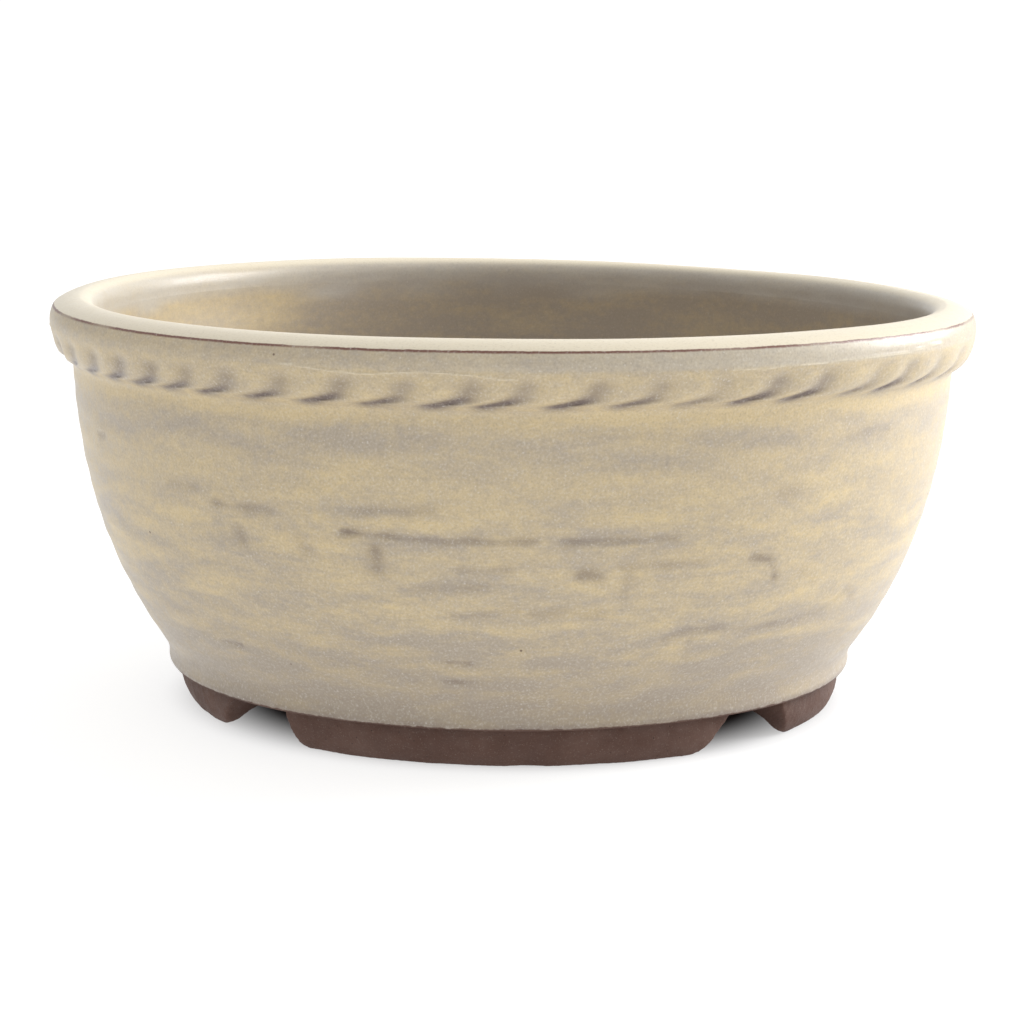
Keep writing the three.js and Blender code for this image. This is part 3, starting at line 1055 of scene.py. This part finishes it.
def glaze_body(g, field, streaks, mottle):
    """Mauve to yellow by tone, dark where the glaze pools and with painted shade low on the wall, and milky
    where it lies thick, with painted sheen and reflection about the lip.
    """
    clouds = g.noise(g.place(FLAT), 20, 4, 0.6, 0.15)
    above_skirt = g.ramp(field["level"], [(0.15, 1.1), (0.24, 2.1)])
    brushed = g.times(above_skirt, g.ramp(field["level"], [(0.52, 1.0), (0.64, 0.5)]))
    tone = g.plus(field["tone"], g.swing(clouds, 0.5))
    tone = g.plus(tone, g.swing(streaks, brushed))
    tone = g.plus(tone, g.swing(mottle, 1.1))
    colour = g.mix(g.ramp(tone, [(0.1, 0), (1.0, 1)], smooth=False), MAUVE, YELLOW)

    broken_pool_and_shade = g.times(field["pool_and_shade"], g.ramp(mottle, [(0.3, 0.7), (0.7, 1.25)], smooth=False))
    colour = g.mix(g.ramp(broken_pool_and_shade, [(0.0, 0), (1.0, 1)], smooth=False), colour, DARK_POOL_AND_SHADE)

    # Thick milky glaze, with painted reflection inside under the lip and painted sheen on its outside, broken
    # up by the streaks
    broken_milky_and_sheen = g.ramp(streaks, [(0.3, 0.6), (0.7, 1.1)], smooth=False)
    milky_and_sheen_share = g.math("MULTIPLY", field["milky_and_sheen"], broken_milky_and_sheen, clamp=True)
    return g.mix(milky_and_sheen_share, colour, MILKY_AND_SHEEN)


def glaze_lip(g, field, mottle, colour):
    """The cream lip with the broken brown line on its arris, and 0 to 1 how far each place is on the lip."""
    above = g.math("SUBTRACT", g.times(field["level"], 100), ARRIS_HEIGHT)
    above = g.plus(above, g.swing(mottle, 0.35))
    outside = g.math("GREATER_THAN", field["worn"], 0.01)
    lip = g.times(g.ramp(above, [(-0.02, 0), (0.2, 1)]), outside)
    colour = g.mix(g.math("MAXIMUM", field["cream"], lip), colour, CREAM)
    line = g.times(g.ramp(above, [(-0.55, 0), (-0.15, 1)]), g.ramp(above, [(0.04, 1), (0.18, 0)]))
    return g.mix(g.times(line, field["worn"]), colour, BROWN_EDGE), lip


def glaze_specks(g, field, streaks, grain, lip, colour):
    """Light and dark grain, pale crystals and pinholes; the grain is fainter on the lip and inside."""
    calm = g.times(g.ramp(lip, [(0, 1), (1, 0.7)]), g.ramp(field["worn"], [(0.0, 0.5), (0.02, 1.0)]))
    colour = g.mix(g.times(g.ramp(grain, [(0.48, 0), (0.8, 0.34)]), calm), colour, LIGHT_SPECK)
    colour = g.mix(g.times(g.ramp(grain, [(0.24, 0.34), (0.5, 0)]), calm), colour, DARK_SPECK)
    crystals = g.specks(g.place(offset=(2, 7, 5)), 620, 0.15)
    crystals = g.times(crystals, g.ramp(streaks, [(0.6, 0), (0.4, 0.3)]))
    colour = g.mix(g.times(crystals, calm), colour, CRYSTAL)
    pinholes = g.specks(g.place(offset=(1, 4, 2)), 75, 0.03)
    return g.mix(g.times(pinholes, 0.8), colour, PINHOLE)


def glaze_material():
    material, tree, shader = principled("glaze")
    g = Graph(tree)
    field = {name: g.field(name) for name in GLAZE_FIELDS}
    streaks = g.noise(g.place(FLAT, (0.3, 0.1, 0.7)), 62, 5, 0.62, 0.25)
    mottle = g.noise(g.place((1, 1, 1.4)), 420, 4, 0.65)
    grain = g.noise(g.place(), 1900, 3, 0.6)

    colour = glaze_body(g, field, streaks, mottle)
    colour, lip = glaze_lip(g, field, mottle, colour)
    colour = glaze_specks(g, field, streaks, grain, lip, colour)

    clay, clay_grain = clay_colour(g)
    ragged = g.plus(field["bare"], g.swing(mottle, BARE_STEP))
    bare = g.ramp(ragged, [(0.5 - 0.2 * BARE_STEP, 0), (0.5 + 0.2 * BARE_STEP, 1)])
    g.link(g.mix(bare, colour, clay), shader.inputs["Base Color"])

    gloss = g.ramp(mottle, [(0.3, 0.34), (0.8, 0.48)])
    g.link(g.mix_numbers(bare, gloss, 0.85), shader.inputs["Roughness"])
    g.link(g.times(g.math("SUBTRACT", 1.0, bare), 0.06), shader.inputs["Coat Weight"])
    shader.inputs["Coat Roughness"].default_value = 0.12
    shader.inputs["IOR"].default_value = 1.5
    glaze_height = g.plus(g.times(mottle, 0.6), g.times(grain, 0.1))
    clay_height = g.times(g.times(clay_grain, bare), 0.8)
    g.bump(shader, g.plus(glaze_height, clay_height), strength=0.2, distance=0.1 * MM)
    return material


def clay_material():
    material, tree, shader = principled("bare_clay")
    g = Graph(tree)
    colour, grain = clay_colour(g)
    g.link(colour, shader.inputs["Base Color"])
    cloud = g.noise(g.place(offset=(2, 0, 1)), 300, 3, 0.6)
    g.link(g.ramp(cloud, [(0.3, 0.62), (0.7, 0.82)]), shader.inputs["Roughness"])
    shader.inputs["Specular IOR Level"].default_value = 0.35
    g.bump(shader, g.plus(grain, g.times(cloud, 0.6)), strength=0.5, distance=0.2 * MM)
    return material


# ---------------------------------------------------------------- stage and light, in metres

FLOOR_SIZE = 8
FLOOR_GREY = (0.35, 0.35, 0.35, 1)
FLOOR_GLOW = [(0.06, 0.0), (0.086, 0.77)]  # distance from the axis, strength
WHITE = (1, 1, 1, 1)

KEY_PLACE, KEY_TARGET = (0.84, 0.28, 0.43), (0, 0, 0.07)
KEY_SIZE = (0.5, 0.5)
KEY_WATTS = 9.5


def make_stage():
    """A pale sheet that glows a little, but not under the pot."""
    bpy.ops.mesh.primitive_plane_add(size=FLOOR_SIZE, location=(0, 0, 0))
    floor = bpy.context.object
    floor.name = "floor"
    material, tree, shader = principled("floor_paper")
    shader.inputs["Base Color"].default_value = FLOOR_GREY
    shader.inputs["Roughness"].default_value = 0.9
    shader.inputs["Specular IOR Level"].default_value = 0.1
    shader.inputs["Emission Color"].default_value = WHITE
    g = Graph(tree)
    reach = g.node("ShaderNodeVectorMath", operation="LENGTH")
    g.link(g.place(), reach.inputs[0])
    g.link(g.ramp(reach.outputs["Value"], FLOOR_GLOW), shader.inputs["Emission Strength"])
    floor.data.materials.append(material)


def area_light(name, place, target, size, watts):
    data = bpy.data.lights.new(name, "AREA")
    data.shape = "RECTANGLE"
    data.size, data.size_y = size
    data.energy = watts
    lamp = bpy.data.objects.new(name, data)
    lamp.location = place
    lamp.rotation_euler = (Vector(target) - Vector(place)).to_track_quat("-Z", "Y").to_euler()
    bpy.context.scene.collection.objects.link(lamp)


def make_light():
    """White all round, dimmer towards the front and the left, with one soft lamp on the right."""
    world = bpy.data.worlds.new("studio")
    bpy.context.scene.world = world
    world.use_nodes = True
    g = Graph(world.node_tree)
    axes = g.node("ShaderNodeSeparateXYZ")
    g.link(g.node("ShaderNodeTexCoord").outputs["Generated"], axes.inputs[0])
    x, y, z = (axes.outputs[axis] for axis in "XYZ")
    side = g.times(g.ramp(x, [(-0.9, 0.66), (0.0, 1.0)]), g.ramp(y, [(-0.8, 0.45), (0.6, 0.7)]))
    behind = g.ramp(y, [(0.78, 0.0), (0.94, 0.4)])
    overhead = g.ramp(z, [(0.15, 0.0), (0.8, 0.4)])
    background = world.node_tree.nodes["Background"]
    background.inputs["Color"].default_value = WHITE
    g.link(g.plus(side, g.plus(behind, overhead)), background.inputs["Strength"])
    area_light("key_right", KEY_PLACE, KEY_TARGET, KEY_SIZE, KEY_WATTS)
    bpy.context.scene.view_settings.view_transform = "Standard"


# ---------------------------------------------------------------- the pot

GLAZE_SLOTS = {
    "skirt_ring": "glaze_body",
    "bowl_wall": "glaze_body",
    "rope_band": "glaze_rope",
    "lip_ring": "glaze_lip",
}

make_camera()
make_stage()
make_light()
glaze, clay = glaze_material(), clay_material()
pieces = build_rings()
pieces["floor_slab"] = build_slab()
for foot_node, foot_turn in FOOT_BEARINGS.items():
    pieces[foot_node] = build_foot(foot_node, foot_turn)
for node, piece in pieces.items():
    piece.data.materials.clear()
    piece.data.materials.append(glaze if node in GLAZE_SLOTS else clay)
    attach(piece, "root")
    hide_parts(node)
